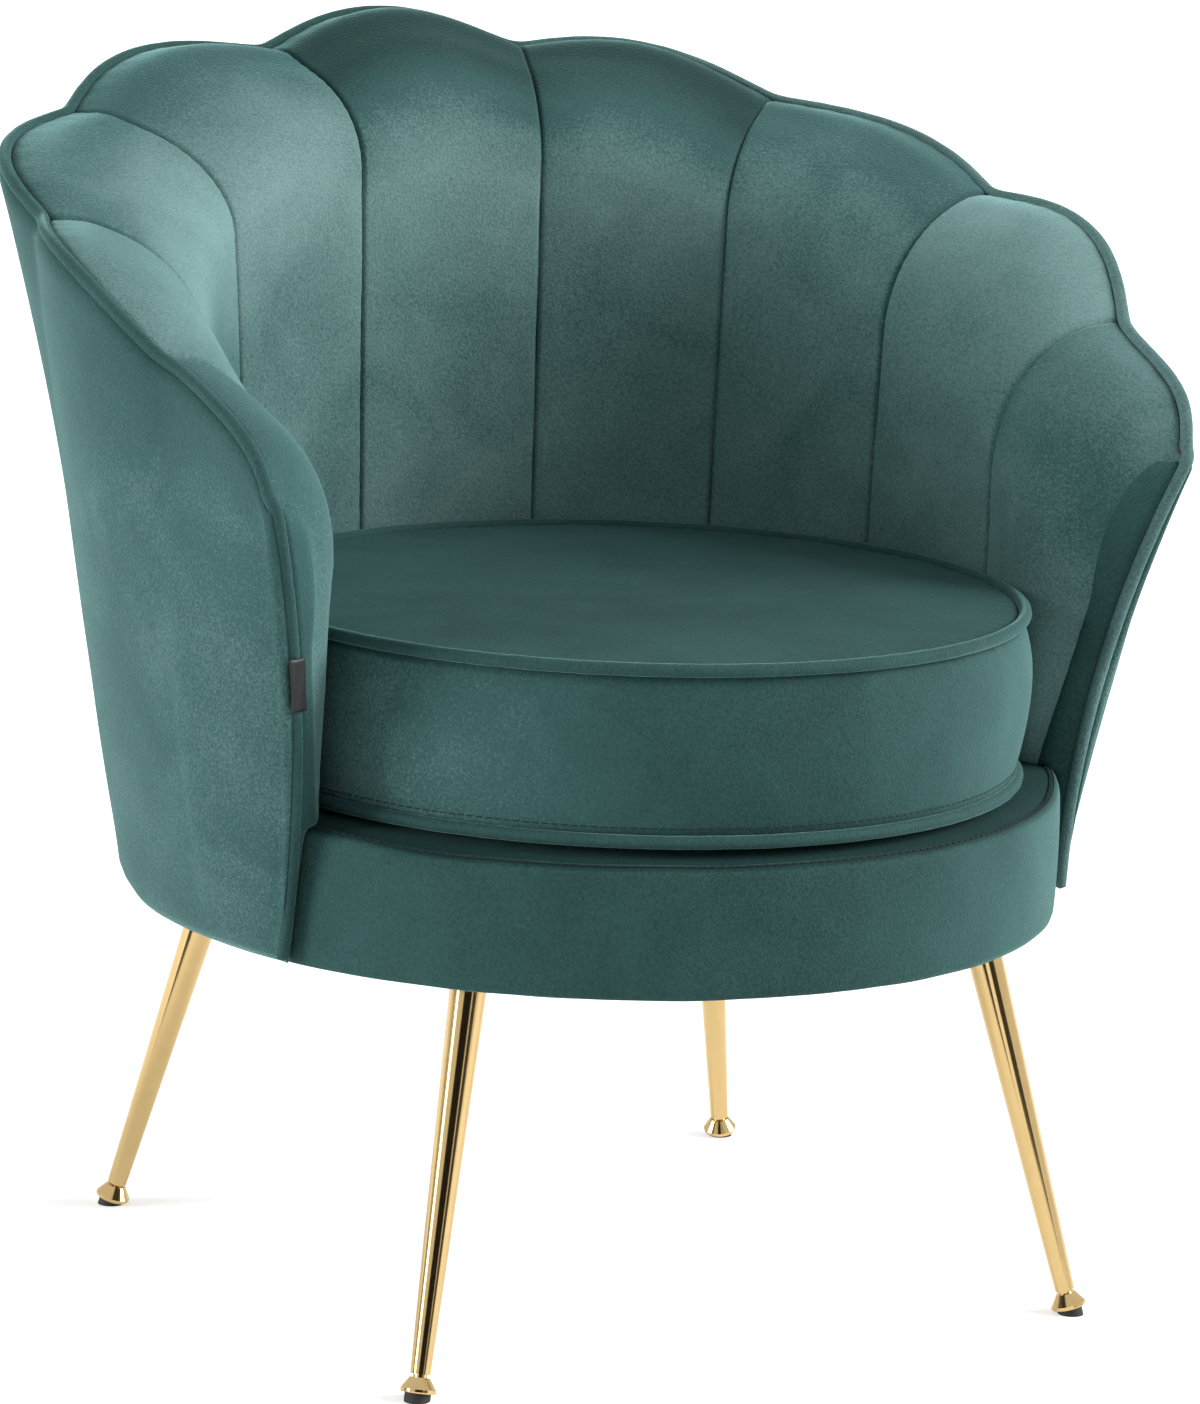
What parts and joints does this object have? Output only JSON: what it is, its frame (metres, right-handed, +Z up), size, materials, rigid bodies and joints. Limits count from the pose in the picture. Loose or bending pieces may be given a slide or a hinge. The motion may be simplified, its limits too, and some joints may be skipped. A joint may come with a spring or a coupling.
{
  "type": "armchair",
  "caption": "Velvet tub armchair with a scalloped, channelled shell back, a loose round seat cushion with piping and slim splayed brass-coloured legs on levelling glides",
  "frame": {"origin": "floor level, under the middle of the bounding box", "axes": "+Z up; the sitter faces -Y; +X is the sitter's left"},
  "size_m": [0.7624, 0.6618, 0.7962],
  "materials": {
    "velvet": "short-pile velvet, teal green, soft sheen",
    "foam": "open-cell polyurethane foam",
    "wadding": "polyester wadding",
    "felt": "needled felt",
    "plywood": "plain birch plywood",
    "pine": "sawn softwood",
    "brass_plate": "polished brass-coloured plating on steel tube",
    "zinc_steel": "zinc-plated steel",
    "rubber": "matt black rubber",
    "lining": "non-woven lining",
    "zip_tape": "woven zip tape with coil teeth",
    "ribbon": "plain woven ribbon"
  },
  "bodies": {
    "chair": {"base_band": "velvet", "base_floor": "plywood", "base_hoop": "plywood", "base_posts": "pine", "base_ring": "plywood", "channel_foam_arm_front_left": "foam", "channel_foam_arm_front_right": "foam", "channel_foam_arm_rear_left": "foam", "channel_foam_arm_rear_right": "foam", "channel_foam_back": "foam", "channel_foam_back_side_left": "foam", "channel_foam_back_side_right": "foam", "channel_foam_wing_left": "foam", "channel_foam_wing_right": "foam", "channel_velvet_arm_front_left": "velvet", "channel_velvet_arm_front_right": "velvet", "channel_velvet_arm_rear_left": "velvet", "channel_velvet_arm_rear_right": "velvet", "channel_velvet_back": "velvet", "channel_velvet_back_side_left": "velvet", "channel_velvet_back_side_right": "velvet", "channel_velvet_wing_left": "velvet", "channel_velvet_wing_right": "velvet", "deck_cover": "velvet", "deck_felt": "felt", "dust_cover": "lining", "edge_roll": "wadding", "leg_bolts": "zinc_steel", "leg_front_left": "brass_plate", "leg_front_right": "brass_plate", "leg_inserts": "zinc_steel", "leg_rear_left": "brass_plate", "leg_rear_right": "brass_plate", "outer_cover": "velvet", "outer_wadding": "wadding", "rim_piping": "velvet", "seat_springs": "zinc_steel", "shell_bolts": "zinc_steel", "shell_nuts": "zinc_steel", "shell_ply": "plywood", "side_tab": "ribbon", "spring_clips": "zinc_steel", "tee_nuts": "zinc_steel"},
    "cushion": {"cushion_bottom": "velvet", "cushion_boxing": "velvet", "cushion_foam": "foam", "cushion_piping_bottom": "velvet", "cushion_piping_top": "velvet", "cushion_top": "velvet", "cushion_zip": "zip_tape"},
    "zip_slider_body": {"zip_slider": "zinc_steel"},
    "glide_foot_rear_left": {"glide_pad_rear_left": "rubber"},
    "glide_screw_rear_left": {"glide_collar_rear_left": "brass_plate"},
    "glide_foot_rear_right": {"glide_pad_rear_right": "rubber"},
    "glide_screw_rear_right": {"glide_collar_rear_right": "brass_plate"},
    "glide_foot_front_left": {"glide_pad_front_left": "rubber"},
    "glide_screw_front_left": {"glide_collar_front_left": "brass_plate"},
    "glide_foot_front_right": {"glide_pad_front_right": "rubber"},
    "glide_screw_front_right": {"glide_collar_front_right": "brass_plate"}
  },
  "joints": [
    {"name": "cushion_lift", "type": "slide", "parent": "chair", "child": "cushion", "axis": [0, 0, 1], "range_m": [0, 0.5]},
    {"name": "zip_run", "type": "hinge", "parent": "cushion", "child": "zip_slider_body", "pos_m": [0, -0.0639, 0.3993], "axis": [0, 0, 1], "range_deg": [0, 86]},
    {"name": "glide_travel_rear_left", "type": "slide", "parent": "chair", "child": "glide_foot_rear_left", "axis": [0.205, 0.1955, -0.959], "range_m": [0, 0.005]},
    {"name": "glide_turn_rear_left", "type": "hinge", "parent": "glide_foot_rear_left", "child": "glide_screw_rear_left", "pos_m": [0.23821, 0.19812, 0], "axis": [0.205, 0.1955, -0.959], "range_deg": [0, 1800]},
    {"name": "glide_travel_rear_right", "type": "slide", "parent": "chair", "child": "glide_foot_rear_right", "axis": [-0.205, 0.1955, -0.959], "range_m": [0, 0.005]},
    {"name": "glide_turn_rear_right", "type": "hinge", "parent": "glide_foot_rear_right", "child": "glide_screw_rear_right", "pos_m": [-0.23821, 0.19812, 0], "axis": [-0.205, 0.1955, -0.959], "range_deg": [0, 1800]},
    {"name": "glide_travel_front_left", "type": "slide", "parent": "chair", "child": "glide_foot_front_left", "axis": [0.205, -0.1955, -0.959], "range_m": [0, 0.005]},
    {"name": "glide_turn_front_left", "type": "hinge", "parent": "glide_foot_front_left", "child": "glide_screw_front_left", "pos_m": [0.23821, -0.25992, 0], "axis": [0.205, -0.1955, -0.959], "range_deg": [0, 1800]},
    {"name": "glide_travel_front_right", "type": "slide", "parent": "chair", "child": "glide_foot_front_right", "axis": [-0.205, -0.1955, -0.959], "range_m": [0, 0.005]},
    {"name": "glide_turn_front_right", "type": "hinge", "parent": "glide_foot_front_right", "child": "glide_screw_front_right", "pos_m": [-0.23821, -0.25992, 0], "axis": [-0.205, -0.1955, -0.959], "range_deg": [0, 1800]}
  ],
  "couplings": [
    {"joint": "glide_turn_rear_left", "follows": "glide_travel_rear_left", "rad_per_m": 6283.2},
    {"joint": "glide_turn_rear_right", "follows": "glide_travel_rear_right", "rad_per_m": 6283.2},
    {"joint": "glide_turn_front_left", "follows": "glide_travel_front_left", "rad_per_m": 6283.2},
    {"joint": "glide_turn_front_right", "follows": "glide_travel_front_right", "rad_per_m": 6283.2}
  ]
}
